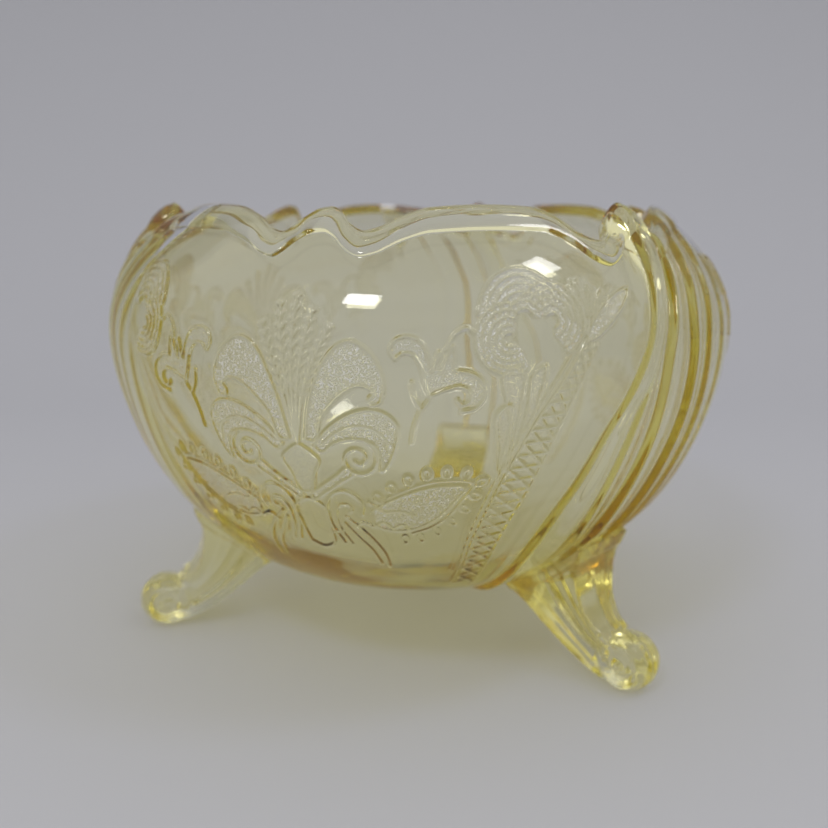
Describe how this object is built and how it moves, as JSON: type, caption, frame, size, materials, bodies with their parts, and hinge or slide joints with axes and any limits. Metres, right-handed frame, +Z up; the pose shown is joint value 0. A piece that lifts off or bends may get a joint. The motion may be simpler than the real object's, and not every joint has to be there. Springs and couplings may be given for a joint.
{
  "type": "footed glass bowl",
  "caption": "Footed cupped bowl of pale yellow pressed glass with a scalloped lip, smooth ornamented panels, swirled pleats and scroll feet.",
  "frame": {"origin": "on the bowl's axis, in the plane the feet stand on", "axes": "+Z up along the bowl's axis; -Y faces the middle of a smooth panel; the feet point out at 60, 180 and 300 degrees from -Y, counted towards +X"},
  "size_m": [0.195, 0.1962, 0.1368],
  "materials": {
    "bowl_glass": "fire-polished pale straw yellow pressed glass with a lightly frosted shallow ornament on the panels",
    "foot_glass": "polished straw yellow pressed glass, amber where it is thick"
  },
  "bodies": {
    "root": {"bowl": "bowl_glass", "foot_right": "foot_glass", "foot_back": "foot_glass", "foot_left": "foot_glass"}
  },
  "joints": []
}
